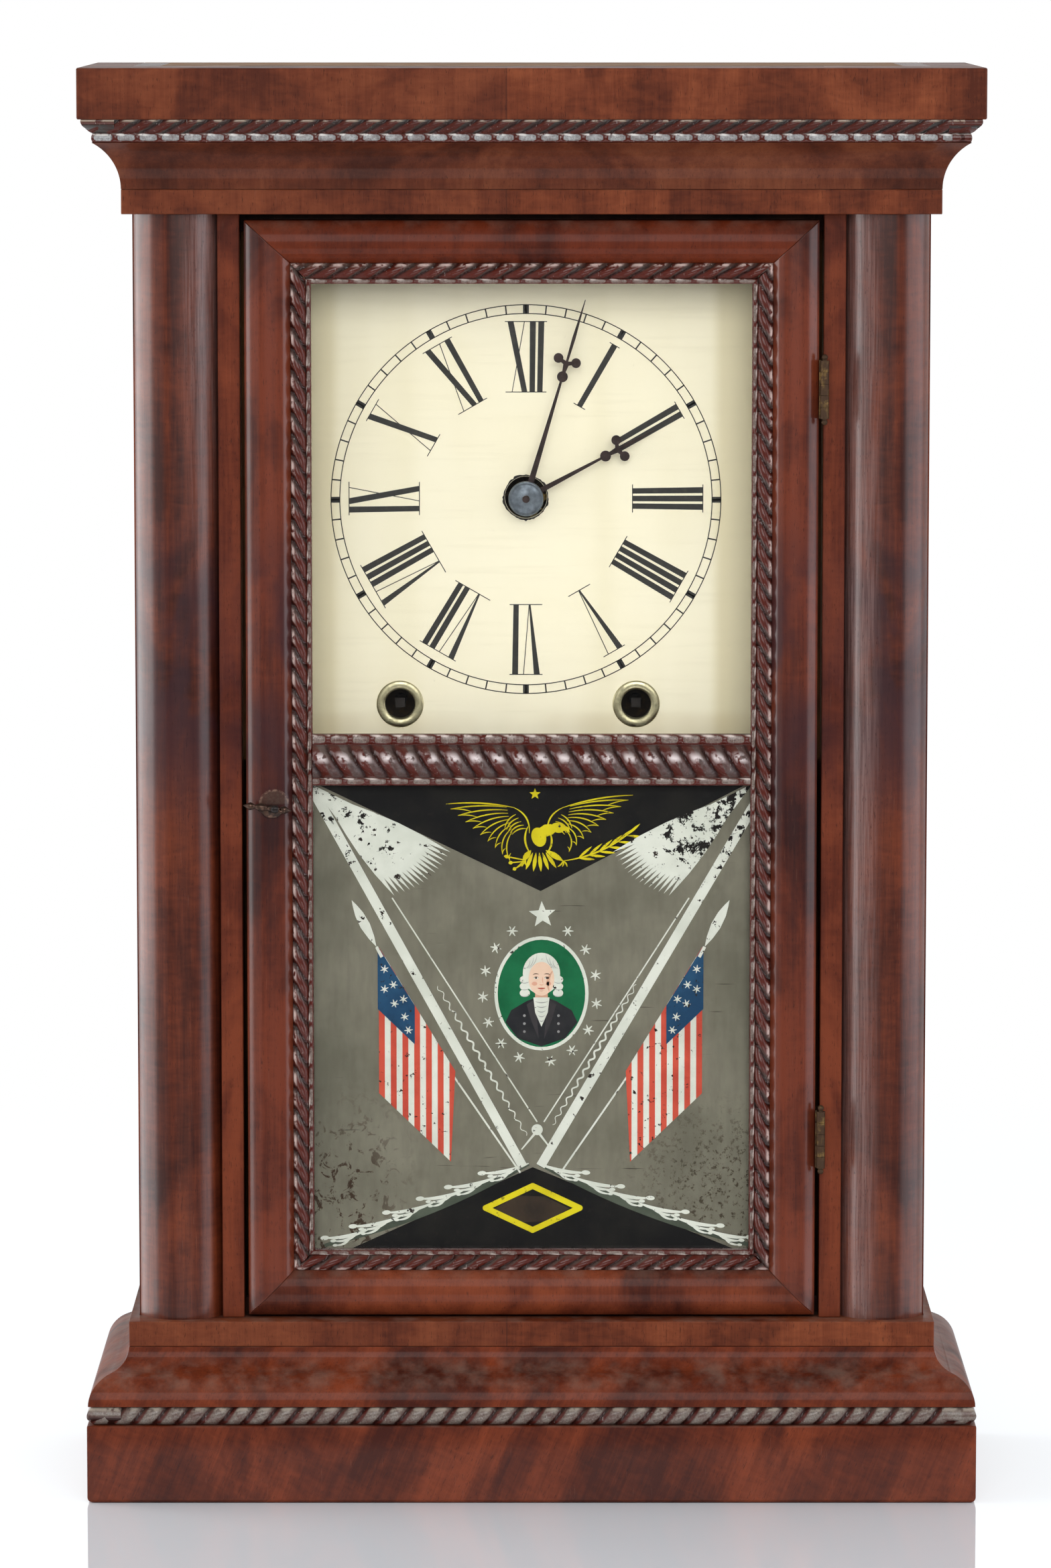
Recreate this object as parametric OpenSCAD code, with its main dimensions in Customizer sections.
// Column shelf clock: carcase, hinged door, dial, hands, spring movement, pendulum and coil gong.
// Millimetres. X runs to the viewer's right, Y to the back and Z up.
// The origin is on the floor, under the middle of the case.

/* [Case heights, from the floor up] */
// Height of the plinth
plinth_h = 35; // [25:0.5:60]
// Height of the twisted moulding on the plinth
base_rope_h = 8.5; // [6:0.5:14]
// Height of the S-shaped base moulding
base_ogee_h = 23.7; // [18:0.1:40]
// Height of the flat fillet under the columns
base_fillet_h = 11.5; // [8:0.5:20]
// Height of the columns
column_h = 492.3; // [440:0.1:560]
// Height of the flat frieze over the columns
frieze_h = 11; // [8:0.5:20]
// Height of the hollow cove
cove_h = 20.6; // [14:0.1:32]
// Height of the beaded strip under the top twist
cornice_bead_h = 3.9; // [3:0.1:6]
// Height of the twisted strip under the fascia
cornice_rope_h = 6.2; // [5:0.1:9]
// Height of the fascia
fascia_h = 22.3; // [16:0.1:40]

/* [Case widths and depths] */
// Depth over all
case_d = 146; // [140:1:180]
// How far plinth and fascia stand proud of the frieze
plinth_out = 18; // [14:0.5:24]
// How far the cove spreads
cove_out = 12; // [8:0.5:13]
// Thickness of frieze and fillet in front
fillet_front_t = 15.5; // [14:0.5:20]
// Thickness of frieze and fillet at the sides
fillet_side_t = 4; // [3:0.5:8]
// Width of each half-round column
column_w = 37; // [28:0.5:46]
// How far a column bulges from the frame
column_bulge = 12; // [8:0.5:15]
// Edge of the frame left bare outside a column
column_inset = 0.5; // [0.3:0.1:3]
// Width of the flat strip between column and door
strip_w = 9.7; // [7:0.1:14]
// How far that strip stands out
strip_out = 6.5; // [5:0.5:7]
// Thickness of the side boards
side_t = 12; // [9:0.5:16]
// Thickness of the front uprights
stile_t = 12; // [9:0.5:14]
// Thickness of the back board
back_t = 8; // [5:0.5:10]
// Thickness of the top and bottom boards
end_board_t = 12; // [8:0.5:20]

/* [Door] */
// Width of the door
door_w = 252.6; // [250:0.2:270]
// Gap between door and frame at each side
door_gap = 2; // [1.6:0.1:3]
// Gap over the door
door_gap_top = 3; // [1:0.1:5]
// Gap under the door
door_gap_bottom = 1.3; // [0.8:0.1:3]
// Width of the door's side members
door_stile_w = 20.3; // [17:0.1:24]
// Width of the door's top member
door_top_w = 18.7; // [16:0.1:24]
// Width of the door's bottom member
door_bottom_w = 20.3; // [17:0.1:26]
// Thickness of the door without its rounded face
door_t = 14; // [12:0.5:15]
// Height of the rounded face over the flat of the door
door_crown = 4; // [2:0.5:5]
// How far the door's back lies behind the frame's face
door_inset = 7.5; // [6:0.5:9]
// Width of the twisted strip round the openings
rope_w = 9.1; // [7:0.1:12]
// How far the twisted strip bulges
rope_bulge = 3.5; // [2:0.1:4.5]
// Height of the cross bar's middle above the floor
crossbar_z = 329.75; // [310:0.25:345]
// Height of the heavy twist on the cross bar
crossbar_rope_h = 14.7; // [11:0.1:18]
// How far the heavy twist bulges
crossbar_rope_bulge = 6; // [3:0.1:7]
// Height of the beaded strip above the heavy twist
crossbar_bead_top_h = 4.6; // [3:0.1:6]
// Height of the beaded strip below the heavy twist
crossbar_bead_bottom_h = 3.4; // [2.5:0.1:6]
// How far a beaded strip bulges
bead_bulge = 1.6; // [0.8:0.1:1.7]
// Thickness of the glasses
glass_t = 2; // [1.5:0.1:3]
// Clearance round a glass
glass_play = 0.5; // [0.2:0.1:1]
// Width of the strips that hold the glasses
glazing_w = 5; // [4:0.5:7]

/* [Hinges and latch] */
// Length of a hinge
hinge_h = 25.7; // [20:0.1:34]
// Radius of a hinge barrel
hinge_r = 1.9; // [1.7:0.05:2.3]
// Radius of a hinge pin
hinge_pin_r = 0.95; // [0.8:0.05:1.1]
// Thickness of a hinge leaf
leaf_t = 0.75; // [0.6:0.05:0.85]
// Depth of a hinge leaf
leaf_d = 14; // [10:0.5:15]
// Height of the upper hinge's middle
hinge_top_z = 494; // [440:1:520]
// Height of the lower hinge's middle
hinge_bottom_z = 160; // [130:1:220]
// Side clearance between hinge knuckles
knuckle_play = 0.15; // [0.1:0.05:0.3]
// Height of the latch's pivot
latch_z = 308.6; // [280:0.2:360]
// Distance of the latch's pivot from the door's left edge
latch_in = 12.8; // [11:0.1:15]
// Thickness of the latch
latch_t = 3; // [2:0.1:4]
// Length of the latch's nose from its pivot
latch_nose = 14.2; // [13:0.1:17]
// Length of the latch's thumb end from its pivot
latch_tail = 7.6; // [6:0.1:9]

/* [Dial and hands] */
// Height of the hands' centre
hands_z = 444; // [440:0.5:450]
// Sideways place of the hands' centre
hands_x = -2.5; // [-6:0.5:6]
// Half width of the dial board
dial_half_w = 127; // [124:0.5:132]
// Height of the dial board
dial_h = 236; // [230:1:244]
// Thickness of the dial board
dial_t = 5; // [4:0.5:5.5]
// Distance from the door's back to the dial's face
dial_set_back = 16; // [14:0.5:17]
// Radius of the hole behind the hands
dial_hole_r = 9.4; // [8.5:0.1:11]
// Distance between the winding holes
winding_spacing = 105.4; // [104:0.2:108]
// Depth of the winding holes below the hands
winding_drop = 92.5; // [90:0.25:95]
// Sideways shift of the winding holes from the hands
winding_shift = -3.5; // [-5:0.25:0]
// Outer radius of a winding grommet
grommet_r = 10.5; // [9.5:0.1:12]
// Radius of a grommet's hole
grommet_hole_r = 6.6; // [6:0.1:7.2]
// Thickness of a grommet's wall and flange
grommet_t = 0.9; // [0.7:0.1:1.2]
// Length of the minute hand
minute_hand_l = 92; // [84:0.5:94]
// Place of the ball on the minute hand
minute_ball = 56.5; // [50:0.5:62]
// Length of the hour hand
hour_hand_l = 65; // [56:0.5:68]
// Place of the ball on the hour hand
hour_ball = 40; // [34:0.5:44]
// Thickness of a hand
hand_t = 1; // [0.8:0.1:1.2]
// Angle of the minute hand, clockwise from twelve
minute_angle = 16.6; // [0:0.1:360]
// Angle of the hour hand, clockwise from twelve
hour_angle = 62; // [0:0.1:360]
// Radius of the domed washer over the hands
hand_washer_r = 7.8; // [7:0.1:8.2]

/* [Movement] */
// Distance from the dial's back to the front plate
plate_set_back = 17; // [16:0.5:18]
// Thickness of the brass plates
plate_t = 1.6; // [1.2:0.1:2]
// Clear distance between the plates
plate_gap = 34.8; // [34.5:0.1:36]
// Running clearance of arbors and pins, on the radius
run_play = 0.05; // [0.02:0.01:0.08]
// End clearance of arbors
end_play = 0.3; // [0.2:0.05:0.5]
// Tooth size of the two great wheels
great_module = 1.35; // [1.33:0.005:1.37]
// Teeth of a great wheel
great_teeth = 72; // [72:1:73]
// Bars of the pinion on a great wheel
great_pinion_n = 9; // [9:1:9]
// Tooth size of the second wheel and centre pinion
second_module = 1.45; // [1.44:0.005:1.47]
// Teeth of the second wheel
second_teeth = 48; // [48:1:49]
// Teeth of the centre pinion
centre_pinion_n = 24; // [23:1:24]
// Tooth size of the centre wheel
centre_module = 0.9; // [0.88:0.01:0.93]
// Teeth of the centre wheel
centre_teeth = 60; // [59:1:62]
// Tooth size of the third wheel
third_module = 0.7; // [0.69:0.01:0.71]
// Teeth of the third wheel
third_teeth = 72; // [72:1:72]
// Bars of the small pinions
small_pinion_n = 6; // [6:1:6]
// Teeth of the escape wheel
escape_teeth = 30; // [24:1:32]
// Radius of the escape wheel
escape_r = 16; // [14:0.5:16.5]
// Height of the escape wheel's arbor over the hands
escape_rise = 44; // [43:0.5:46]
// Tooth size of the strike side's pin wheel
pin_module = 1; // [0.96:0.01:1.02]
// Tooth size of the strike side's third wheel
strike_third_module = 0.8; // [0.78:0.01:0.82]
// Teeth of the pin wheel and of the strike side's third wheel
strike_teeth = 60; // [59:1:61]
// Width of a mainspring
spring_w = 18; // [14:0.5:18]
// Outer radius of a mainspring
spring_r = 34; // [30:0.5:35]
// Turns of a mainspring
spring_turns = 8; // [6:1:9]
// Thickness of a mainspring's strip
spring_t = 0.8; // [0.4:0.1:1]

/* [Pendulum, hammer and gong] */
// Length from the pendulum's bending point to the bob's middle
pendulum_l = 248; // [240:1:252]
// Radius of the bob
bob_r = 22; // [18:0.5:24]
// Thickness of the bob
bob_t = 9; // [7:0.5:10]
// Radius of the pendulum rod
rod_r = 0.8; // [0.7:0.05:1]
// Outer radius of the gong's coil
gong_r = 45; // [38:0.5:46]
// Turns of the gong's coil
gong_turns = 4; // [3:1:5]
// Radius of the gong's wire
gong_wire_r = 1.2; // [1:0.1:1.5]
// Height of the gong's middle
gong_z = 180; // [170:1:182]
// Gap from the hammer's head to the coil at rest
hammer_gap = 1; // [0.6:0.1:3]

/* [Hidden] */
$fn = 64;
eps = 0.01;
seat_gap = 0.3;

// Levels of the case
z_base_rope = plinth_h;
z_base_ogee = z_base_rope + base_rope_h;
z_base_fillet = z_base_ogee + base_ogee_h;
z_column = z_base_fillet + base_fillet_h;
z_frieze = z_column + column_h;
z_cove = z_frieze + frieze_h;
z_cornice_bead = z_cove + cove_h;
z_cornice_rope = z_cornice_bead + cornice_bead_h;
z_fascia = z_cornice_rope + cornice_rope_h;
case_h = z_fascia + fascia_h;

// Depths and half widths of the case
y_back = case_d / 2;
y_back_inner = y_back - back_t;
y_frieze = -case_d / 2 + plinth_out;
y_frame = y_frieze + fillet_front_t;
y_frame_back = y_frame + stile_t;
y_strip = y_frame - strip_out;
door_half = door_w / 2;
x_strip = door_half + door_gap;
x_column = x_strip + strip_w;
half_carcase = x_column + column_w + column_inset;
half_frieze = half_carcase + fillet_side_t;
inner_half = half_carcase - side_t;

// Door
z_door = z_column + door_gap_bottom;
z_door_top = z_frieze - door_gap_top;
y_door_back = y_frame + door_inset;
y_door = y_door_back - door_t;
half_member = door_half - door_stile_w;
half_opening = half_member - rope_w;
z_member_low = z_door + door_bottom_w;
z_member_top = z_door_top - door_top_w;
rope_base_t = 4;
y_glass = y_door + rope_base_t;
crossbar_h = crossbar_rope_h + crossbar_bead_top_h + crossbar_bead_bottom_h;
z_crossbar = crossbar_z - crossbar_h / 2;
z_crossbar_top = crossbar_z + crossbar_h / 2;
z_heavy_rope = z_crossbar + crossbar_bead_bottom_h + crossbar_rope_h / 2;
tongue_h = 7.5;

// Hinges
x_hinge = x_strip + leaf_t / 2;
y_hinge = y_door - door_crown;
knuckles = 5;
knuckle_h = hinge_h / knuckles;
leaf_front = hinge_r + 0.2;

// Dial and movement planes
y_dial = y_door_back + dial_set_back;
y_dial_back = y_dial + dial_t;
z_dial = hands_z - dial_h / 2;
y_plate_a = y_dial_back + plate_set_back;
y_train_a = y_plate_a + plate_t;
y_train_b = y_train_a + plate_gap;
y_plate_b_back = y_train_b + plate_t;
y_pendulum = y_plate_b_back + 9;
hour_hand_y = y_dial - 5;
minute_hand_y = hour_hand_y - 2.6;

// Places of the arbors, as [x, z]
hands = [hands_x, hands_z];
time_arbor = hands + [winding_shift + winding_spacing / 2, -winding_drop];
strike_arbor = hands + [winding_shift - winding_spacing / 2, -winding_drop];
function polar(r, a) = r * [cos(a), sin(a)];
function heading(a, b) = atan2(b[1] - a[1], b[0] - a[0]);
// The point at distance ra from a and rb from b, on the side given
function meet(a, ra, b, rb, side) =
    let (d = norm(b - a), t = (ra * ra - rb * rb + d * d) / (2 * d), u = (b - a) / d)
    a + t * u + side * sqrt(ra * ra - t * t) * [-u[1], u[0]];
function mesh_r(n1, n2, m) = (n1 + n2) * m / 2;
great_mesh = mesh_r(great_teeth, great_pinion_n, great_module);
second_mesh = mesh_r(second_teeth, centre_pinion_n, second_module);
centre_mesh = mesh_r(centre_teeth, small_pinion_n, centre_module);
third_mesh = mesh_r(third_teeth, small_pinion_n, third_module);
pin_mesh = mesh_r(strike_teeth, small_pinion_n, pin_module);
strike_third_mesh = mesh_r(strike_teeth, small_pinion_n, strike_third_module);
second_arbor = meet(time_arbor, great_mesh, hands, second_mesh, -1);
escape_arbor = hands + [0, escape_rise];
third_arbor = meet(hands, centre_mesh, escape_arbor, third_mesh, -1);
pin_arbor = strike_arbor + polar(great_mesh, 70);
strike_third_arbor = pin_arbor + polar(pin_mesh, 110);
fly_arbor = strike_third_arbor + polar(strike_third_mesh, 80);
verge_arbor = escape_arbor + [0, escape_r * sqrt(2)];
hammer_arbor = hands + [-1, -108];
bob_z = verge_arbor[1] - pendulum_l;

// Levels of the wheels between the plates, as distances behind the front plate
spring_at = 2;
great_at = 21.4;
great_t = 2;
ratchet_at = great_at + great_t + 0.8;
second_at = 27.4;
centre_at = 16.4;
third_at = 6.4;
escape_at = 31.4;
strike_third_at = 12.4;
wheel_t = 1.4;
pinion_side_gap = 0.8;
shroud_t = 0.9;
arbor_r = 1.5;
thin_arbor_r = 0.9;
pivot_r = 0.8;
winding_journal_r = 2.6;
winding_hub_r = 5;
great_seat_r = 3.2;
cannon_r = 2.6;
centre_front_r = 1.6;
motion_module = 0.9;
cannon_teeth = 12;
minute_teeth = 36;
minute_pinion_n = 10;
hour_teeth = 40;
motion_mesh = mesh_r(cannon_teeth, minute_teeth, motion_module);
hour_module = 2 * motion_mesh / (minute_pinion_n + hour_teeth);
minute_arbor = hands + polar(motion_mesh, -35);
plate_left = -86;
plate_right = 81;
plate_low = -128;
plate_top = 86;
pillar_r = 4;
pillar_tenon_r = 2.5;
pillars = [[-68, 74], [62, 74], [-80, -38], [75, -36], [-1, -121]];
screw_places = [[-77, 60], [-77, -90], [72, 60], [72, -90]];
screw_r = 1.75;
strip_inner = 20;
hub_gap = 0.4;

// General shapes

// Draws its flat child upright, from front level y0 to back level y1
module upright(y0, y1) {
    translate([0, y1, 0]) rotate([90, 0, 0]) linear_extrude(y1 - y0) children();
}

// A round bar along Y at the place p
module bar_y(p, r, y0, y1) {
    translate([p[0], y0, p[1]]) rotate([-90, 0, 0]) cylinder(r = r, h = y1 - y0);
}

// A box from its low corner to its high corner
module block(a, b) {
    translate(a) cube(b - a);
}

module mirror_pair() {
    children();
    mirror([1, 0, 0]) children();
}

// The slice of a circle that stands h over a chord w wide; the chord lies on u = 0
module crown_2d(w, h) {
    r = (w * w / 4 + h * h) / (2 * h);
    intersection() {
        translate([h - r, 0]) circle(r = r, $fn = 96);
        translate([0, -w / 2]) square([h, w]);
    }
}

// The half-round bar: a crown of width w and height h on a flat base of thickness t
module half_round_2d(w, h, t) {
    union() {
        crown_2d(w, h);
        translate([-t, -w / 2]) square([t + eps, w]);
    }
}

// Runs its flat child round the front and both sides of the case.
// The child's u is the distance out from the frieze, its v the height over z0.
module case_moulding(z0) {
    difference() {
        intersection() {
            translate([half_frieze + plinth_out, y_frieze, z0]) rotate([90, 0, -90])
                linear_extrude(2 * (half_frieze + plinth_out)) children();
            translate([0, y_back, z0]) rotate([90, 0, 0]) linear_extrude(case_d) union() {
                translate([half_frieze, 0]) children();
                mirror([1, 0]) translate([half_frieze, 0]) children();
            }
        }
        block([-half_carcase, y_frame, z0 - 1], [half_carcase, y_back + 1, z0 + case_h]);
    }
}

// Flat profiles of the case mouldings; each reaches back past the middle of the case
reach = case_d + half_carcase;
module slab_2d(out, h) {
    translate([-reach, 0]) square([reach + out, h]);
}

module plinth_2d() {
    edge_r = 2.5;
    difference() {
        slab_2d(plinth_out, plinth_h);
        difference() {
            translate([plinth_out - edge_r, 0]) square(edge_r * 2, center = true);
            translate([plinth_out - edge_r * 2, edge_r]) circle(r = edge_r);
        }
    }
}

// A round twist laid in a flat ledge
module twist_2d(out, h, bulge) {
    union() {
        slab_2d(out - bulge, h);
        translate([out - bulge, h / 2]) crown_2d(h, bulge);
    }
}

// Two arcs that meet smoothly: hollow above, round below
module ogee_2d() {
    out = plinth_out - 0.5;
    sum_r = (out * out + base_ogee_h * base_ogee_h) / (2 * out);
    low_r = sum_r * 0.565;
    top_r = sum_r - low_r;
    join = [out - low_r, 0] + low_r / sum_r * [top_r - out + low_r, base_ogee_h];
    difference() {
        union() {
            polygon([[-reach, 0], [out, 0], join, [0, base_ogee_h], [-reach, base_ogee_h]]);
            intersection() {
                translate([out - low_r, 0]) circle(r = low_r, $fn = 96);
                square([out, base_ogee_h]);
            }
        }
        translate([top_r, base_ogee_h]) circle(r = top_r, $fn = 96);
    }
}

module cove_2d() {
    r = (cove_out * cove_out + cove_h * cove_h) / (2 * cove_out);
    difference() {
        slab_2d(cove_out, cove_h);
        translate([r, 0]) circle(r = r, $fn = 128);
    }
}

// Case

module back_board() {
    color([0.45, 0.30, 0.17]) block([-half_carcase, y_back_inner, 0], [half_carcase, y_back, case_h]);
}

module side_boards() {
    color([0.36, 0.14, 0.08]) mirror_pair()
        block([inner_half, y_frame_back, 0], [half_carcase, y_back_inner, case_h]);
}

module end_boards() {
    color([0.42, 0.28, 0.16]) for (z = [0, case_h - end_board_t])
        block([-inner_half, y_frame_back, z], [inner_half, y_back_inner, z + end_board_t]);
}

// The front frame's cross members over and under the door; a lip on each stops the door's back
stop_lip = 5;
module front_rails() {
    y_lip = y_door_back + 0.5;
    color([0.40, 0.14, 0.08]) {
        block([-x_strip, y_frame, 0], [x_strip, y_frame_back, z_column]);
        block([-x_strip, y_lip, z_column - 1], [x_strip, y_frame_back, z_door + stop_lip]);
        block([-x_strip, y_frame, z_frieze], [x_strip, y_frame_back, case_h]);
        block([-x_strip, y_lip, z_door_top - stop_lip], [x_strip, y_frame_back, z_frieze + 1]);
    }
}

// An upright of the front frame: the board behind the column and the flat strip beside the door
module stile() {
    block([x_strip, y_frame, 0], [half_carcase, y_frame_back, case_h]);
    block([x_strip, y_strip, z_column], [x_column, y_frame + eps, z_frieze]);
}

module right_stile() {
    color([0.40, 0.14, 0.08]) union() stile();
}

module left_stile() {
    color([0.40, 0.14, 0.08]) mirror([1, 0, 0]) union() stile();
}

module column() {
    translate([x_column + column_w / 2, y_frame, z_column]) rotate([0, 0, -90])
        linear_extrude(column_h) crown_2d(column_w, column_bulge);
}

module right_column() {
    color([0.45, 0.15, 0.08]) column();
}

module left_column() {
    color([0.45, 0.15, 0.08]) mirror([1, 0, 0]) column();
}

module plinth() {
    color([0.36, 0.13, 0.08]) case_moulding(0) plinth_2d();
}

module base_twist() {
    color([0.25, 0.13, 0.10])
        case_moulding(z_base_rope) twist_2d(plinth_out, base_rope_h, base_rope_h * 0.4);
}

module base_ogee() {
    color([0.40, 0.14, 0.08]) case_moulding(z_base_ogee) ogee_2d();
}

module base_fillet() {
    color([0.34, 0.13, 0.08]) case_moulding(z_base_fillet) slab_2d(0, base_fillet_h);
}

module frieze() {
    color([0.34, 0.13, 0.08]) case_moulding(z_frieze) slab_2d(0, frieze_h);
}

module cove() {
    color([0.38, 0.14, 0.08]) case_moulding(z_cove) cove_2d();
}

// The beaded strip and the small twist over it, in one moulding that spreads to the fascia
module cornice_twist() {
    twist_out = (plinth_out + cove_out) / 2;
    color([0.25, 0.13, 0.10]) union() {
        case_moulding(z_cornice_bead) twist_2d(cove_out, cornice_bead_h, 1.2);
        case_moulding(z_cornice_rope) twist_2d(twist_out, cornice_rope_h, 2);
    }
}

module fascia() {
    color([0.40, 0.15, 0.09]) case_moulding(z_fascia) slab_2d(plinth_out, fascia_h);
}

// Wooden strips inside the case: two behind the dial, two behind the movement
module mounting_strips() {
    color([0.48, 0.33, 0.19]) {
        mirror_pair() block([dial_half_w - 6, y_dial_back, z_dial],
            [inner_half, y_dial_back + 11, z_dial + dial_h]);
        difference() {
            union() for (x = [plate_left, plate_right - strip_inner])
                translate([hands_x + x, y_plate_b_back, hands_z + plate_low + 8])
                    cube([strip_inner, y_back_inner - y_plate_b_back, plate_top - plate_low - 16]);
            for (p = screw_places)
                bar_y(hands + p, screw_r + run_play, y_train_b, y_back_inner - 4);
        }
    }
}

// Dial

module dial_board() {
    color([0.93, 0.90, 0.80]) difference() {
        block([-dial_half_w, y_dial, z_dial], [dial_half_w, y_dial_back, z_dial + dial_h]);
        bar_y(hands, dial_hole_r, y_dial - 1, y_dial_back + 1);
        for (p = [time_arbor, strike_arbor])
            bar_y(p, grommet_hole_r + grommet_t + run_play, y_dial - 1, y_dial_back + 1);
    }
}

module winding_grommets() {
    color([0.80, 0.66, 0.40]) for (p = [time_arbor, strike_arbor]) difference() {
        union() {
            bar_y(p, grommet_r, y_dial - grommet_t, y_dial);
            bar_y(p, grommet_hole_r + grommet_t, y_dial - eps, y_dial_back);
        }
        bar_y(p, grommet_hole_r, y_dial - grommet_t - 1, y_dial_back + 1);
    }
}

// Hinges

// One hinge leaf with its knuckles; the case leaf has the odd ones and the door leaf the even ones
module hinge_leaf(z, door_side) {
    x0 = door_side ? door_half : x_strip - leaf_t;
    y_leaf = y_hinge + leaf_front;
    first = door_side ? 1 : 0;
    difference() {
        union() {
            block([x0, y_leaf, z - hinge_h / 2], [x0 + leaf_t, y_leaf + leaf_d, z + hinge_h / 2]);
            for (i = [first : 2 : knuckles - 1]) {
                z0 = z - hinge_h / 2 + i * knuckle_h + knuckle_play / 2;
                z1 = z0 + knuckle_h - knuckle_play;
                translate([x_hinge, y_hinge, z0]) cylinder(r = hinge_r, h = z1 - z0);
                block([min(x0, x_hinge - hinge_r + leaf_t * 0.6), y_hinge, z0],
                    [max(x0 + leaf_t, x_hinge - hinge_r + leaf_t * 0.6), y_leaf + eps, z1]);
            }
        }
        translate([x_hinge, y_hinge, z - hinge_h])
            cylinder(r = hinge_pin_r + run_play, h = 2 * hinge_h);
    }
}

module hinge_case_leaves() {
    color([0.45, 0.36, 0.20]) for (z = [hinge_bottom_z, hinge_top_z]) hinge_leaf(z, false);
}

module hinge_door_leaves() {
    color([0.45, 0.36, 0.20]) for (z = [hinge_bottom_z, hinge_top_z]) hinge_leaf(z, true);
}

// Pins with a small turned end above and below the barrel
module hinge_pins() {
    color([0.40, 0.32, 0.18]) for (z = [hinge_bottom_z, hinge_top_z])
        translate([x_hinge, y_hinge, z]) {
            translate([0, 0, -hinge_h / 2 - 1.2]) cylinder(r = hinge_pin_r, h = hinge_h + 2.4);
            for (s = [-1, 1]) translate([0, 0, s * (hinge_h / 2 + 1.4)]) sphere(r = 1.35);
        }
}

// Door

// Cuts its child, a bar along one side of a frame, to its mitres.
// a and b are the outer corners of that side, c and d the inner corners beside b and a.
module mitre(a, b, c, d) {
    intersection() {
        children();
        upright(y_door - 20, y_door_back + 1) polygon([a, b, c, d]);
    }
}

// A bar that runs up: its chord is centred on x, its flat back is t behind the plane y
module bar_up(x, y, w, h, t) {
    translate([x, y, z_door - 1]) rotate([0, 0, -90])
        linear_extrude(z_door_top - z_door + 2) half_round_2d(w, h, t);
}

// A bar that runs across: its chord is centred on the height z
module bar_across(z, y, w, h, t) {
    translate([door_half + 1, y, z]) rotate([90, 0, -90])
        linear_extrude(door_w + 2) half_round_2d(w, h, t);
}

corner_low = [door_half, z_door];
corner_top = [door_half, z_door_top];
member_low = [half_member, z_member_low];
member_top = [half_member, z_member_top];
opening_low = [half_opening, z_member_low + rope_w];
opening_top = [half_opening, z_member_top - rope_w];
function flip(p) = [-p[0], p[1]];

module door_stile() {
    mitre(corner_low, corner_top, member_top, member_low)
        bar_up(door_half - door_stile_w / 2, y_door, door_stile_w, door_crown, door_t);
}

module door_right_stile() {
    color([0.46, 0.17, 0.09]) door_stile();
}

// The left upright, with the hole of the latch's screw
module door_left_stile() {
    color([0.46, 0.17, 0.09]) difference() {
        mirror([1, 0, 0]) door_stile();
        bar_y(latch, latch_screw_r + run_play, y_door - door_crown - 1, y_door + 8);
    }
}

module door_top_rail() {
    color([0.46, 0.17, 0.09]) mitre(corner_top, flip(corner_top), flip(member_top), member_top)
        bar_across(z_door_top - door_top_w / 2, y_door, door_top_w, door_crown, door_t);
}

module door_bottom_rail() {
    color([0.46, 0.17, 0.09]) mitre(flip(corner_low), corner_low, member_low, flip(member_low))
        bar_across(z_door + door_bottom_w / 2, y_door, door_bottom_w, door_crown, door_t);
}

// The bar between the two openings, with a tongue behind it that parts the glasses
module door_crossbar() {
    tongue_low = crossbar_z - tongue_h / 2;
    tongue_top = crossbar_z + tongue_h / 2;
    color([0.40, 0.15, 0.09]) union() {
        block([-half_opening, y_door, z_crossbar], [half_opening, y_glass, z_crossbar_top]);
        block([-half_opening, y_door + 1, tongue_low], [half_opening, y_door_back, tongue_top]);
        block([-half_member, y_glass, tongue_low], [half_member, y_door_back, tongue_top]);
    }
}

module crossbar_twist() {
    color([0.25, 0.13, 0.10]) intersection() {
        union() {
            bar_across(z_heavy_rope, y_door, crossbar_rope_h, crossbar_rope_bulge, 0);
            bar_across(z_crossbar_top - crossbar_bead_top_h / 2, y_door,
                crossbar_bead_top_h, bead_bulge, 0);
            bar_across(z_crossbar + crossbar_bead_bottom_h / 2, y_door,
                crossbar_bead_bottom_h, bead_bulge, 0);
        }
        block([-half_opening, y_door - 20, z_crossbar], [half_opening, y_door, z_crossbar_top]);
    }
}

// Four mitred strips round the two openings
module door_twist_strips() {
    up_x = half_member - rope_w / 2;
    color([0.25, 0.13, 0.10]) {
        mirror_pair() mitre(member_low, member_top, opening_top, opening_low)
            bar_up(up_x, y_door, rope_w, rope_bulge, rope_base_t);
        mitre(member_top, flip(member_top), flip(opening_top), opening_top)
            bar_across(z_member_top - rope_w / 2, y_door, rope_w, rope_bulge, rope_base_t);
        mitre(flip(member_low), member_low, opening_low, flip(opening_low))
            bar_across(z_member_low + rope_w / 2, y_door, rope_w, rope_bulge, rope_base_t);
    }
}

glass_half = half_member - glass_play;
module dial_glass() {
    color([0.80, 0.85, 0.85, 0.35]) block([-glass_half, y_glass, crossbar_z + tongue_h / 2 + glass_play],
        [glass_half, y_glass + glass_t, z_member_top - glass_play]);
}

module tablet_glass() {
    color([0.42, 0.47, 0.42]) block([-glass_half, y_glass, z_member_low + glass_play],
        [glass_half, y_glass + glass_t, crossbar_z - tongue_h / 2 - glass_play]);
}

// Strips round the back of each glass
module glazing_frame(z0, z1) {
    y0 = y_glass + glass_t;
    y1 = y_door_back - 1;
    difference() {
        block([-half_member, y0, z0], [half_member, y1, z1]);
        block([-half_member + glazing_w, y0 - 1, z0 + glazing_w],
            [half_member - glazing_w, y1 + 1, z1 - glazing_w]);
    }
}

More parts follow.
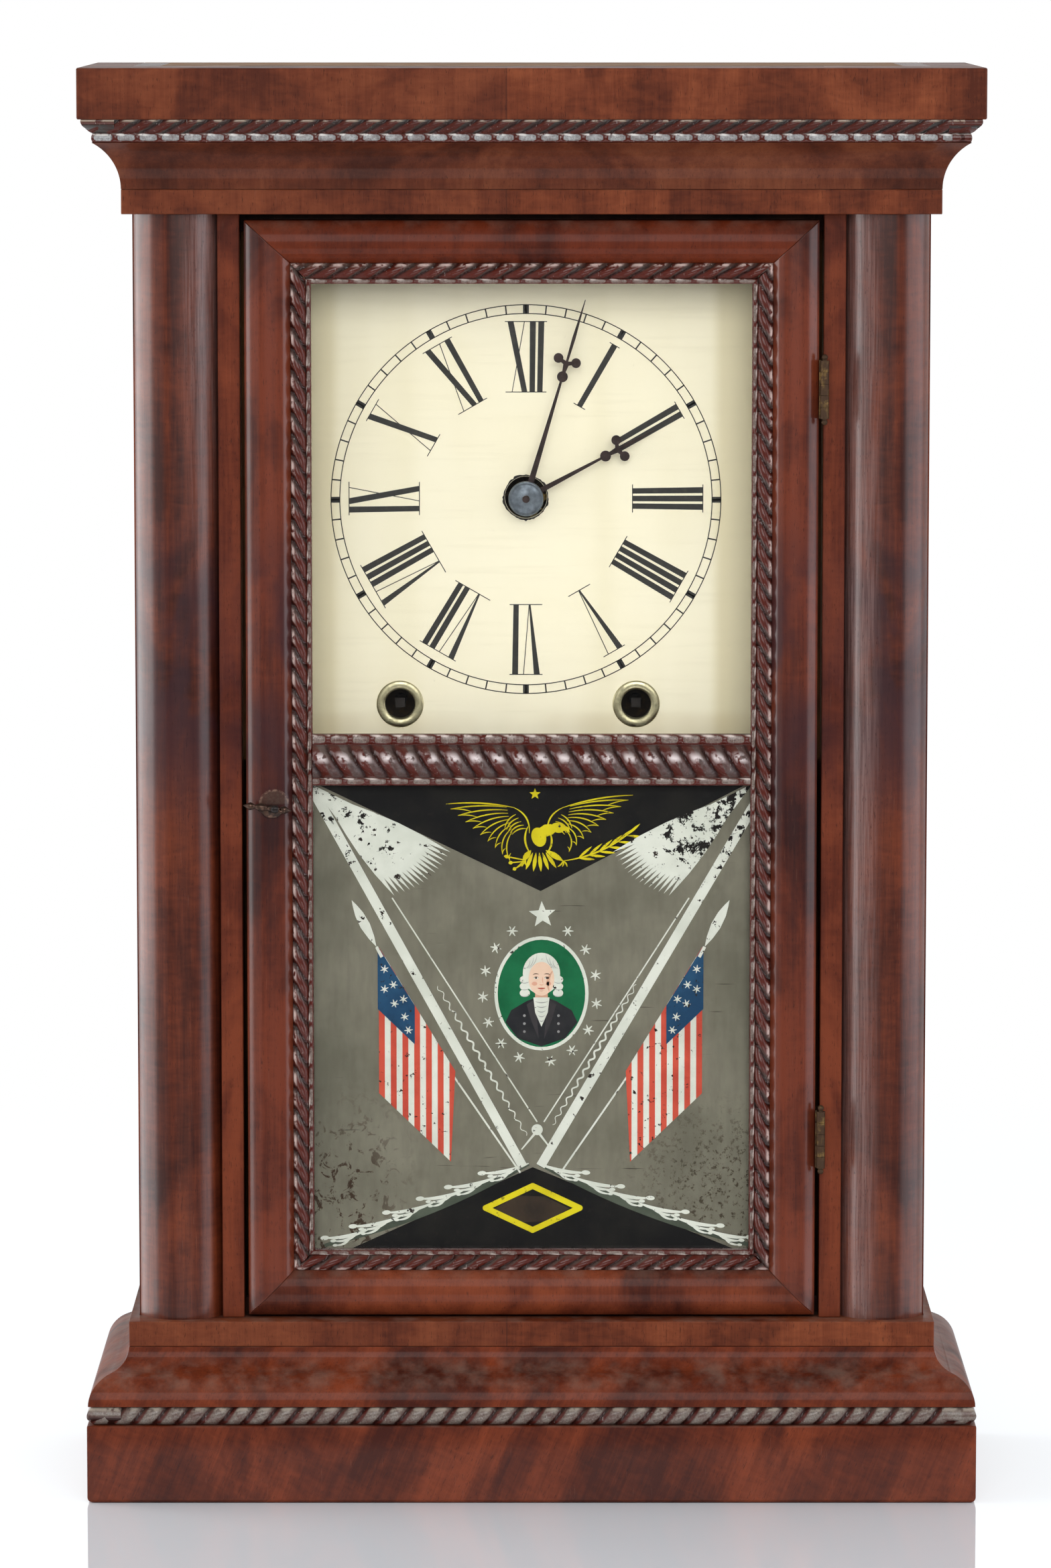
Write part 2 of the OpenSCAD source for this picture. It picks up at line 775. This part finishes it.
module glazing_strips() {
    color([0.42, 0.30, 0.18]) {
        glazing_frame(z_member_low, crossbar_z - tongue_h / 2);
        glazing_frame(crossbar_z + tongue_h / 2, z_member_top);
    }
}

latch = [-door_half + latch_in, latch_z];
latch_screw_r = 1.5;
latch_tilt = 6.6;
y_latch = y_door - door_crown - seat_gap;

// A turn latch: a nose that covers the gap, a round boss and a thumb end
module door_latch() {
    nose_h = 3;
    boss_r = 3.4;
    thumb_r = 2.5;
    tip_r = 1.2;
    color([0.16, 0.14, 0.13]) difference() {
        translate([latch[0], 0, latch[1]]) rotate([0, latch_tilt, 0])
            upright(y_latch - latch_t, y_latch) union() {
                circle(r = boss_r);
                translate([latch_tail - thumb_r, 0]) circle(r = thumb_r);
                translate([0, -nose_h / 2]) square([latch_tail - thumb_r, nose_h]);
                translate([tip_r - latch_nose, 0]) circle(r = tip_r);
                polygon([[0, -nose_h / 2], [0, nose_h / 2],
                    [tip_r - latch_nose, tip_r], [tip_r - latch_nose, -tip_r]]);
            }
        bar_y(latch, latch_screw_r + run_play, y_latch - latch_t - 1, y_latch + 1);
    }
}

module latch_screw() {
    color([0.30, 0.27, 0.24]) union() {
        bar_y(latch, latch_screw_r, y_latch - latch_t - 0.2, y_door + 7.6);
        bar_y(latch, 2.6, y_latch - latch_t - 1.3, y_latch - latch_t - 0.2);
    }
}

// Parts of wheels

// Tooth outline: pointed teeth with flat tops and a flat between them
function tooth_points(n, m) =
    let (r = n * m / 2, pitch = PI * m)
    [for (i = [0 : n - 1]) for (c = [[-0.9, -0.225], [0.8, -0.1], [0.8, 0.1], [-0.9, 0.225]])
        let (rr = r + c[0] * m) polar(rr, i * 360 / n + c[1] * pitch / r * 180 / PI)];

// A wheel with crossed-out arms; a tooth points along the angle phase
module toothed_2d(n, m, bore, arms, phase) {
    rim = n * m / 2 - 0.9 * m - 2.2;
    hub = bore + 2.6;
    arm_w = rim * 0.13;
    rotate(phase) difference() {
        polygon(tooth_points(n, m));
        circle(r = bore);
        if (arms > 0) difference() {
            circle(r = rim);
            circle(r = hub);
            for (i = [0 : arms - 1]) rotate(i * 360 / arms) translate([0, -arm_w / 2]) square([rim, arm_w]);
        }
    }
}

module wheel(p, n, m, y0, t, phase, bore, arms) {
    translate([p[0], 0, p[1]]) upright(y0, y0 + t) toothed_2d(n, m, bore, arms, phase);
}

// A lantern pinion round the wheel level that starts at y0: two shrouds and n round bars.
// A gap between two bars faces the angle phase.
module lantern(p, n, m, y0, t, core, phase) {
    ya = y0 - pinion_side_gap - shroud_t;
    yb = y0 + t + pinion_side_gap;
    shroud_r = n * m / 2 + 0.45 * m + 0.5;
    bar_y(p, shroud_r, ya, ya + shroud_t);
    bar_y(p, shroud_r, yb, yb + shroud_t);
    for (i = [0 : n - 1])
        bar_y(p + polar(n * m / 2, phase + (i + 0.5) * 360 / n), 0.45 * m, ya + eps, yb + shroud_t - eps);
    bar_y(p, core, ya, yb + shroud_t);
}

// An arbor between the plates with its two pivots
module arbor(p, r, pivot) {
    bar_y(p, r, y_train_a + end_play, y_train_b - end_play);
    bar_y(p, pivot, y_plate_a - 0.4, y_plate_b_back + 0.4);
}

// Movement frame

pivots = [second_arbor, third_arbor, escape_arbor, pin_arbor, strike_third_arbor, fly_arbor];

// Windows in the plates, each as [x, z, width, height]
plate_windows = [[-46, 40, 28, 32], [30, 44, 24, 28], [-14, -96, 20, 22]];

module plate_2d() {
    cut = 18;
    difference() {
        polygon([[plate_left + cut, plate_low], [plate_right - cut, plate_low],
            [plate_right, plate_low + cut], [plate_right, plate_top - cut],
            [plate_right - cut, plate_top], [plate_left + cut, plate_top],
            [plate_left, plate_top - cut], [plate_left, plate_low + cut]]);
        for (w = plate_windows) translate([w[0], w[1]]) square([w[2], w[3]]);
    }
}

// Holes that both plates share; the children are cut as well
module plate(y0) {
    y1 = y0 + plate_t;
    difference() {
        translate([hands[0], 0, hands[1]]) upright(y0, y1) plate_2d();
        for (p = pivots) bar_y(p, pivot_r + run_play, y0 - 1, y1 + 1);
        for (p = pillars) bar_y(hands + p, pillar_tenon_r + run_play, y0 - 1, y1 + 1);
        for (p = [time_arbor, strike_arbor]) bar_y(p, winding_journal_r + run_play, y0 - 1, y1 + 1);
        children();
    }
}

// Posts for the outer ends of the mainsprings, each as [arbor, angle of the post]
spring_post_r = 1.8;
spring_posts = [[time_arbor, 225], [strike_arbor, 315]];

// The front plate carries the posts that hold the mainsprings' outer ends and the minute wheel's stud
module front_plate() {
    color([0.78, 0.62, 0.34]) union() {
        plate(y_plate_a) {
            bar_y(hands, centre_front_r + run_play, y_plate_a - 1, y_train_a + 1);
            bar_y(verge_arbor, pivot_r + run_play, y_plate_a - 1, y_train_a + 1);
            bar_y(hammer_arbor, pivot_r + run_play, y_plate_a - 1, y_train_a + 1);
        }
        for (s = spring_posts)
            bar_y(s[0] + polar(spring_r + spring_post_r + seat_gap, s[1]), spring_post_r,
                y_train_a - eps, y_train_a + spring_at + spring_w);
        bar_y(minute_arbor, thin_arbor_r, motion_front - 1, y_plate_a + eps);
        bar_y(minute_arbor, 1.8, motion_front - 1, motion_front + 0.4);
    }
}

module back_plate() {
    y1 = y_plate_b_back + 1;
    color([0.78, 0.62, 0.34]) plate(y_train_b) {
        bar_y(hands, pivot_r + run_play, y_train_b - 1, y1);
        bar_y(verge_arbor, arbor_r + run_play, y_train_b - 1, y1);
        bar_y(hammer_arbor, arbor_r + run_play, y_train_b - 1, y1);
        for (p = screw_places) bar_y(hands + p, screw_r + run_play, y_train_b - 1, y1);
    }
}

module plate_pillars() {
    color([0.74, 0.58, 0.30]) for (p = pillars) union() {
        bar_y(hands + p, pillar_r, y_train_a, y_train_b);
        bar_y(hands + p, pillar_tenon_r, y_plate_a - 0.8, y_plate_b_back);
    }
}

module movement_screws() {
    color([0.45, 0.44, 0.42]) for (p = screw_places) union() {
        bar_y(hands + p, 3.5, y_train_b - 2, y_train_b);
        bar_y(hands + p, screw_r, y_train_b - eps, y_back_inner - 4.5);
    }
}

// Bracket on the back plate with a slot for the pendulum's spring; its foot lies on the plate
cock_rise = 4;
cock_h = 5;
module pendulum_cock() {
    x = verge_arbor[0];
    z = verge_arbor[1] + cock_rise;
    slot = 1;
    color([0.76, 0.60, 0.32]) difference() {
        union() {
            block([x - 5, y_plate_b_back, z + 2], [x + 5, y_plate_b_back + 2, z + 14]);
            block([x - 5, y_plate_b_back, z], [x + 5, y_pendulum + 5, z + cock_h]);
        }
        block([x - slot, y_pendulum - 3.5, z - 1], [x + slot, y_pendulum + 6, z + cock_h + 1]);
    }
}

// A flat spiral strip from the winding hub to the spring post
spring_in = winding_hub_r + seat_gap + spring_t;
function spiral_r(f) = spring_in + f * (spring_r - spring_in);
spring_steps = 20;
module mainspring(p, a0) {
    steps = spring_turns * spring_steps;
    outer = [for (i = [0 : steps]) polar(spiral_r(i / steps), a0 + i * 360 / spring_steps)];
    inner = [for (i = [steps : -1 : 0])
        polar(spiral_r(i / steps) - spring_t, a0 + i * 360 / spring_steps)];
    translate([p[0], 0, p[1]]) upright(y_train_a + spring_at, y_train_a + spring_at + spring_w)
        polygon(concat(outer, inner));
}

module mainsprings() {
    color([0.30, 0.32, 0.38]) for (s = spring_posts) mainspring(s[0], s[1]);
}

// Hands and motion work, in front of the front plate

motion_front = y_plate_a - 8.4;
cannon_level = y_plate_a - 3.4;
hour_level = y_plate_a - 7.4;
motion_t = 1.6;
cannon_end = y_plate_a - 0.6;

// A hand that points up: tapered blade with a ball, two balls on arms beyond it, and a slender point
ball_r = 2.4;
side_ball_r = 2.15;
side_ball_out = 4.05;
fork_rise = 6.1;
module hand_2d(l, ball_at, root_w, hub, bore) {
    fork = ball_at + fork_rise;
    belly = fork + (l - fork) * 0.4;
    difference() {
        union() {
            circle(r = hub);
            polygon([[-root_w / 2, 0], [root_w / 2, 0], [0.5, ball_at], [-0.5, ball_at]]);
            translate([0, ball_at]) circle(r = ball_r, $fn = 32);
            polygon([[-0.5, ball_at], [0.5, ball_at], [1.3, fork], [-1.3, fork]]);
            polygon([[0, fork - 1.2], [side_ball_out, fork + 0.7], [side_ball_out, fork + 2.1],
                [0, fork + 0.9], [-side_ball_out, fork + 2.1], [-side_ball_out, fork + 0.7]]);
            for (side = [-1, 1]) translate([side * side_ball_out, fork + 1.4])
                circle(r = side_ball_r, $fn = 32);
            polygon([[-0.5, fork], [0.5, fork], [0.75, belly], [0.15, l], [-0.15, l], [-0.75, belly]]);
        }
        circle(r = bore);
    }
}

// The minute hand on the cannon pinion that turns on the centre arbor
module minute_hand() {
    color([0.13, 0.13, 0.16]) difference() {
        union() {
            translate([hands[0], 0, hands[1]]) rotate([0, minute_angle, 0])
                upright(minute_hand_y - hand_t, minute_hand_y)
                    hand_2d(minute_hand_l, minute_ball, 2.9, 5, cannon_r - 0.4);
            bar_y(hands, cannon_r, minute_hand_y - hand_t, cannon_end);
            wheel(hands, cannon_teeth, motion_module, cannon_level, motion_t + 1,
                heading(hands, minute_arbor), cannon_r - 0.4, 0);
        }
        bar_y(hands, centre_front_r + run_play, minute_hand_y - hand_t - 1, cannon_end + 1);
    }
}

module hand_washer() {
    dome = 2.4;
    r = (hand_washer_r * hand_washer_r + dome * dome) / (2 * dome);
    y0 = minute_hand_y - hand_t - 0.3;
    color([0.20, 0.23, 0.28]) difference() {
        intersection() {
            translate([hands[0], y0 + r - dome, hands[1]]) sphere(r = r, $fn = 96);
            bar_y(hands, hand_washer_r, y0 - dome, y0);
        }
        bar_y(hands, centre_front_r + run_play, y0 - dome - 1, y0 + 1);
    }
}

pipe_r = 4.2;
module hour_hand() {
    color([0.13, 0.13, 0.16]) translate([hands[0], 0, hands[1]]) rotate([0, hour_angle, 0])
        upright(hour_hand_y - hand_t, hour_hand_y) hand_2d(hour_hand_l, hour_ball, 2.6, 6.6, pipe_r);
}

module hour_wheel() {
    color([0.78, 0.62, 0.34]) difference() {
        union() {
            bar_y(hands, pipe_r, hour_hand_y - hand_t, hour_level + motion_t);
            wheel(hands, hour_teeth, hour_module, hour_level, motion_t,
                heading(hands, minute_arbor), cannon_r + run_play + 0.5, 5);
        }
        bar_y(hands, cannon_r + run_play, hour_hand_y - hand_t - 1, y_plate_a);
    }
}

module minute_wheel() {
    back_to = heading(minute_arbor, hands);
    color([0.78, 0.62, 0.34]) difference() {
        union() {
            wheel(minute_arbor, minute_teeth, motion_module, cannon_level + 0.6, motion_t,
                back_to + 180 / minute_teeth, thin_arbor_r + run_play, 4);
            wheel(minute_arbor, minute_pinion_n, hour_module, hour_level - 0.3, motion_t + 0.6,
                back_to + 180 / minute_pinion_n, thin_arbor_r + run_play, 0);
            bar_y(minute_arbor, 2.4, hour_level - 0.3, cannon_level + 0.6 + motion_t);
        }
        bar_y(minute_arbor, thin_arbor_r + run_play, motion_front - 2, y_plate_a);
    }
}

// Going train

module centre_wheel() {
    color([0.76, 0.60, 0.32]) union() {
        bar_y(hands, centre_front_r, minute_hand_y - hand_t - 3.2, y_train_b - end_play);
        bar_y(hands, pivot_r, y_train_b - 1, y_plate_b_back + 0.4);
        bar_y(hands, 3, y_train_a + end_play, y_train_b - end_play);
        wheel(hands, centre_teeth, centre_module, y_train_a + centre_at, wheel_t,
            heading(hands, third_arbor), 2.5, 5);
        wheel(hands, centre_pinion_n, second_module, y_train_a + second_at - 0.4, wheel_t + 0.8,
            heading(hands, second_arbor) + 180 / centre_pinion_n, 2.5, 0);
    }
}

module third_wheel() {
    color([0.76, 0.60, 0.32]) union() {
        arbor(third_arbor, thin_arbor_r, pivot_r);
        lantern(third_arbor, small_pinion_n, centre_module, y_train_a + centre_at, wheel_t,
            thin_arbor_r, heading(third_arbor, hands));
        bar_y(third_arbor, 3.4, y_train_a + third_at - 0.6, y_train_a + third_at + wheel_t + 0.6);
        wheel(third_arbor, third_teeth, third_module, y_train_a + third_at, wheel_t,
            heading(third_arbor, escape_arbor), 3, 5);
    }
}

// Hooked teeth that lean the way the wheel turns
module escape_2d() {
    pitch = 360 / escape_teeth;
    difference() {
        polygon([for (i = [0 : escape_teeth - 1])
            for (c = [[1, 0], [0.84, pitch * 0.12], [0.84, pitch * 0.72]])
                polar(escape_r * c[0], i * pitch + c[1])]);
        difference() {
            circle(r = escape_r * 0.72);
            circle(r = 4.2);
            for (i = [0 : 4]) rotate(i * 72) translate([0, -0.9]) square([escape_r, 1.8]);
        }
    }
}

module escape_wheel() {
    color([0.76, 0.60, 0.32]) union() {
        arbor(escape_arbor, thin_arbor_r, pivot_r);
        lantern(escape_arbor, small_pinion_n, third_module, y_train_a + third_at, wheel_t,
            thin_arbor_r, heading(escape_arbor, third_arbor));
        translate([escape_arbor[0], 0, escape_arbor[1]])
            upright(y_train_a + escape_at, y_train_a + escape_at + 1.2) escape_2d();
    }
}

module second_wheel() {
    color([0.76, 0.60, 0.32]) union() {
        arbor(second_arbor, arbor_r, pivot_r);
        lantern(second_arbor, great_pinion_n, great_module, y_train_a + great_at, great_t,
            arbor_r, heading(second_arbor, time_arbor));
        wheel(second_arbor, second_teeth, second_module, y_train_a + second_at, wheel_t,
            heading(second_arbor, hands), arbor_r - 0.1, 5);
    }
}

ratchet_teeth = 16;
ratchet_r = 11;
ratchet_in = 9.2;
ratchet_t = 1.6;

// A click's rivet, as distance from the wheel's middle and as angle from the tooth that it catches
click_r = 20;
click_a = 38;
// The click stands this far off the ratchet, as if lifted, so that the arbor turns freely
click_gap = 0.5;
click_tip = 1.6;

// A great wheel with its click, which is riveted to it and reaches over the ratchet
module great_wheel(p, driven) {
    y0 = y_train_a + great_at;
    y1 = y_train_a + ratchet_at;
    a = heading(p, driven);
    union() {
        wheel(p, great_teeth, great_module, y0, great_t, a, great_seat_r + run_play, 5);
        bar_y(p + polar(click_r, a), 1.6, y0 + great_t / 2, y1 + ratchet_t / 2);
        translate([p[0], 0, p[1]]) upright(y1, y1 + ratchet_t) rotate(a - click_a) union() {
            translate(polar(click_r, click_a)) circle(r = 2.4);
            polygon([polar(ratchet_r + click_gap, 2.2), polar(ratchet_r + click_gap + click_tip, 2.2),
                polar(click_r + 1.9, click_a - 4), polar(click_r - 1.9, click_a + 4)]);
        }
    }
}

module time_great_wheel() {
    color([0.78, 0.62, 0.34]) great_wheel(time_arbor, second_arbor);
}

module strike_great_wheel() {
    color([0.78, 0.62, 0.34]) great_wheel(strike_arbor, pin_arbor);
}

// Winding arbor: a square for the key, the spring's hub and the ratchet behind the great wheel
module winding_arbor(p, driven) {
    y_square = y_dial_back + 0.5;
    union() {
        translate([p[0], 0, p[1]]) upright(y_square, y_plate_a - 5) square(4.2, center = true);
        bar_y(p, winding_journal_r, y_plate_a - 5 - eps, y_plate_b_back + 1.5);
        bar_y(p, winding_hub_r, y_train_a + end_play, y_train_a + great_at - hub_gap);
        bar_y(p, great_seat_r, y_train_a + great_at - hub_gap - eps, y_train_a + ratchet_at);
        translate([p[0], 0, p[1]]) upright(y_train_a + ratchet_at, y_train_a + ratchet_at + ratchet_t)
            rotate(heading(p, driven) - click_a)
                polygon([for (i = [0 : ratchet_teeth - 1]) for (r = [ratchet_r, ratchet_in])
                    polar(r, i * 360 / ratchet_teeth)]);
        bar_y(p, 4, y_train_a + ratchet_at, y_train_b - end_play);
    }
}

module time_winding_arbor() {
    color([0.50, 0.47, 0.42]) winding_arbor(time_arbor, second_arbor);
}

module strike_winding_arbor() {
    color([0.50, 0.47, 0.42]) winding_arbor(strike_arbor, pin_arbor);
}

// Verge with two pallets over the escape wheel, and the crutch that embraces the pendulum rod
crutch_l = 62;
module verge() {
    y0 = y_train_a + escape_at;
    y_crutch = y_plate_b_back + 2.4;
    fork = rod_r + 0.4;
    color([0.42, 0.42, 0.44]) union() {
        bar_y(verge_arbor, arbor_r, y_train_a + end_play, y_crutch + 1.4);
        bar_y(verge_arbor, pivot_r, y_plate_a - 0.4, y_train_a + 1);
        translate([verge_arbor[0], 0, verge_arbor[1]]) {
            upright(y0 - 0.4, y0 + 1.6) scale(escape_r / 16) union() {
                circle(r = 3.2);
                for (s = [1, -1]) polygon([[0, 2.6], [s * 13, -3.6], [s * 15.5, -9.5], [s * 12.6, -9.8],
                    [s * 11.2, -5.4], [0, -2.6]]);
            }
            upright(y_crutch, y_crutch + 1.2) union() {
                circle(r = 2.6);
                translate([-1.2, -crutch_l]) square([2.4, crutch_l]);
                translate([-fork - 1.4, -crutch_l]) square([2 * fork + 2.8, 4]);
            }
            for (s = [0, 1]) mirror([s, 0, 0])
                block([fork, y_crutch, -crutch_l], [fork + 1.4, y_pendulum + 3, -crutch_l + 4]);
        }
    }
}

// Pendulum: suspension spring with its cross pin, rod, bob and rating nut
module pendulum() {
    x = verge_arbor[0];
    z = verge_arbor[1];
    pin_r = 0.9;
    z_pin = z + cock_rise + cock_h + seat_gap + pin_r;
    z_foot = bob_z - bob_r - 12;
    lens_r = (bob_r * bob_r + bob_t * bob_t / 4) / bob_t;
    lens_shift = lens_r - bob_t / 2;
    color([0.72, 0.58, 0.32]) {
        union() {
            translate([x - 3, y_pendulum, z_pin]) rotate([0, 90, 0]) cylinder(r = pin_r, h = 6);
            block([x - 0.2, y_pendulum - 2.5, z - 10], [x + 0.2, y_pendulum + 2.5, z_pin]);
            translate([x, y_pendulum, z_foot]) cylinder(r = rod_r, h = z - 8 - z_foot);
        }
        difference() {
            intersection() {
                translate([x, y_pendulum + lens_shift, bob_z]) sphere(r = lens_r, $fn = 128);
                translate([x, y_pendulum - lens_shift, bob_z]) sphere(r = lens_r, $fn = 128);
            }
            translate([x, y_pendulum, bob_z - bob_r - 1]) cylinder(r = rod_r + run_play, h = 2 * bob_r + 2);
        }
        difference() {
            translate([x, y_pendulum, bob_z - bob_r - 3]) cylinder(r = 4, h = 3);
            translate([x, y_pendulum, bob_z - bob_r - 4]) cylinder(r = rod_r + run_play, h = 5);
        }
    }
}

// Striking train

lift_pins = 8;
lift_pin_ring = 22;
module pin_wheel() {
    y0 = y_train_a + second_at;
    color([0.76, 0.60, 0.32]) union() {
        arbor(pin_arbor, arbor_r, pivot_r);
        lantern(pin_arbor, great_pinion_n, great_module, y_train_a + great_at, great_t,
            arbor_r, heading(pin_arbor, strike_arbor));
        wheel(pin_arbor, strike_teeth, pin_module, y0, wheel_t,
            heading(pin_arbor, strike_third_arbor), arbor_r - 0.1, 0);
        for (i = [0 : lift_pins - 1])
            bar_y(pin_arbor + polar(lift_pin_ring, i * 360 / lift_pins), 0.7, y0 - 2, y0 + eps);
    }
}

module strike_third_wheel() {
    y0 = y_train_a + strike_third_at;
    color([0.76, 0.60, 0.32]) union() {
        arbor(strike_third_arbor, thin_arbor_r, pivot_r);
        lantern(strike_third_arbor, small_pinion_n, pin_module, y_train_a + second_at, wheel_t,
            thin_arbor_r, heading(strike_third_arbor, pin_arbor));
        bar_y(strike_third_arbor, 3.4, y0 - 0.6, y0 + wheel_t + 0.6);
        wheel(strike_third_arbor, strike_teeth, strike_third_module, y0, wheel_t,
            heading(strike_third_arbor, fly_arbor), 3, 5);
    }
}

// The fly: a two-winged fan that limits the speed of striking
module fly() {
    fly_half = 12;
    wing_at = 17;
    wing_w = 14;
    wing_t = 0.8;
    color([0.76, 0.60, 0.32]) union() {
        arbor(fly_arbor, thin_arbor_r, pivot_r);
        lantern(fly_arbor, small_pinion_n, strike_third_module, y_train_a + strike_third_at, wheel_t,
            thin_arbor_r, heading(fly_arbor, strike_third_arbor));
        translate([fly_arbor[0], 0, fly_arbor[1]])
            block([-fly_half, y_train_a + wing_at, -wing_t / 2],
                [fly_half, y_train_a + wing_at + wing_w, wing_t / 2]);
    }
}

// Hammer: arbor with a lifting tail between the plates, and a wire with a head beside the gong
hammer_head_r = 5;
gong_centre = [hands_x, gong_z];
gong_touch = gong_centre + polar(gong_r + gong_wire_r + hammer_gap + hammer_head_r, 135);
module hammer() {
    y_arm = y_plate_b_back + 1.2;
    y_tail = y_train_a + second_at - 1.8;
    down = heading(hammer_arbor, gong_touch);
    reach_down = norm(gong_touch - hammer_arbor);
    tail_l = norm(pin_arbor - hammer_arbor) - lift_pin_ring - 2;
    color([0.50, 0.47, 0.40]) union() {
        bar_y(hammer_arbor, arbor_r, y_train_a + end_play, y_arm + 1.8);
        bar_y(hammer_arbor, pivot_r, y_plate_a - 0.4, y_train_a + 1);
        translate([hammer_arbor[0], 0, hammer_arbor[1]]) {
            upright(y_tail, y_tail + 1.2) rotate(heading(hammer_arbor, pin_arbor)) union() {
                circle(r = 2.8);
                translate([0, -0.9]) square([tail_l, 1.8]);
            }
            upright(y_arm, y_arm + 1.6) rotate(down) union() {
                circle(r = 3);
                translate([0, -0.9]) square([reach_down, 1.8]);
            }
        }
        bar_y(gong_touch, hammer_head_r, y_arm, y_pendulum + 7);
    }
}

// Gong: an iron block on the back board and a coil of wire that starts in it
gong_block_r = 8;
gong_rings = 24;
gong_sides = 6;
gong_in = gong_block_r - 3;
gong_pitch = (gong_r - gong_in) / gong_turns;
function gong_at(a) = polar(gong_in + gong_pitch * a / 360, a - 60);
gong_gap = gong_pitch - 2 * gong_wire_r;
echo(gong_least_gap = gong_gap);

module gong_coil() {
    count = gong_turns * gong_rings;
    points = [for (i = [0 : count]) let (a = i * 360 / gong_rings, c = gong_at(a), n = polar(1, a - 60))
        for (k = [0 : gong_sides - 1]) let (w = polar(gong_wire_r, k * 360 / gong_sides))
            [c[0] + n[0] * w[0], w[1], c[1] + n[1] * w[0]]];
    last = count * gong_sides;
    walls = [for (i = [0 : count - 1]) for (k = [0 : gong_sides - 1])
        let (p = i * gong_sides + k, q = i * gong_sides + (k + 1) % gong_sides)
        for (f = [[p, p + gong_sides, q], [q, p + gong_sides, q + gong_sides]]) f];
    caps = [for (k = [1 : gong_sides - 2]) for (f = [[0, k, k + 1], [last, last + k + 1, last + k]]) f];
    polyhedron(points, concat(walls, caps));
}

module gong() {
    color([0.30, 0.31, 0.36]) {
        translate([gong_centre[0], y_pendulum + 3, gong_centre[1]]) gong_coil();
        difference() {
            bar_y(gong_centre, gong_block_r, y_pendulum - 1, y_back_inner);
            translate([gong_centre[0], y_pendulum + 3, gong_centre[1]]) gong_coil();
        }
    }
}

back_board();
side_boards();
end_boards();
front_rails();
left_stile();
right_stile();
left_column();
right_column();
plinth();
base_twist();
base_ogee();
base_fillet();
frieze();
cove();
cornice_twist();
fascia();
dial_board();
winding_grommets();
mounting_strips();
hinge_case_leaves();
hinge_pins();
door_left_stile();
door_right_stile();
door_top_rail();
door_bottom_rail();
door_crossbar();
crossbar_twist();
door_twist_strips();
dial_glass();
tablet_glass();
glazing_strips();
hinge_door_leaves();
door_latch();
latch_screw();
front_plate();
back_plate();
plate_pillars();
movement_screws();
pendulum_cock();
mainsprings();
minute_hand();
hand_washer();
hour_hand();
hour_wheel();
minute_wheel();
centre_wheel();
third_wheel();
escape_wheel();
second_wheel();
time_great_wheel();
time_winding_arbor();
verge();
pendulum();
strike_great_wheel();
strike_winding_arbor();
pin_wheel();
strike_third_wheel();
fly();
hammer();
gong();
